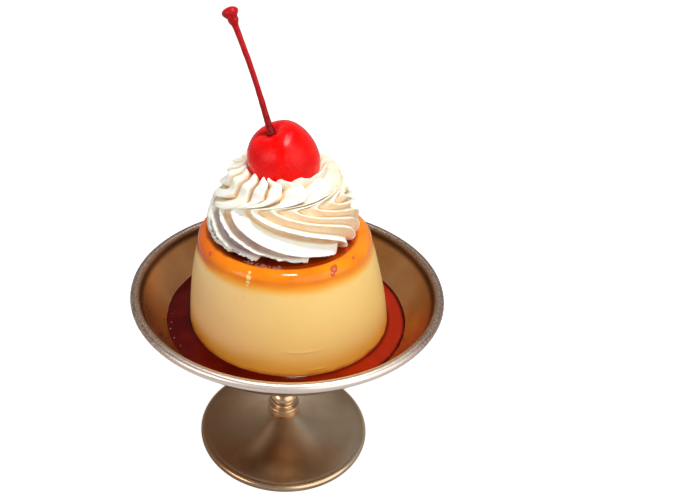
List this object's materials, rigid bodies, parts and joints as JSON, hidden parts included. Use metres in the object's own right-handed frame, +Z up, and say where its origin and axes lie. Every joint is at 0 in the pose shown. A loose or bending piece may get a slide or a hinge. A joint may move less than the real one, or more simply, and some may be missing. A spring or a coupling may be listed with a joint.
{
  "type": "caramel pudding",
  "caption": "Moulded custard pudding with dark caramel, a piped cream rosette and a stalked cherry, served in a shallow footed metal dish.",
  "frame": {"origin": "centre of the dish's foot, on the table", "axes": "+Z up along the dish's stem; -Y is the front, and the cherry's stalk leans towards -X"},
  "size_m": [0.114, 0.114, 0.174],
  "materials": {
    "dish_metal": "satin, finely scratched by use",
    "custard": "moist and slightly translucent",
    "caramel_custard": "wet gloss",
    "caramel_sauce": "wet gloss",
    "whipped_cream": "soft satin",
    "cherry_skin": "syrupy gloss",
    "cherry_stalk": "satin"
  },
  "bodies": {
    "root": {"dish_bowl": "dish_metal", "dish_stem": "dish_metal", "dish_foot": "dish_metal", "custard": "custard", "caramel_layer": "caramel_custard", "caramel_puddle": "caramel_sauce", "caramel_pool": "caramel_sauce", "cream_rosette": "whipped_cream", "cherry": "cherry_skin", "cherry_stalk": "cherry_stalk"}
  },
  "joints": []
}
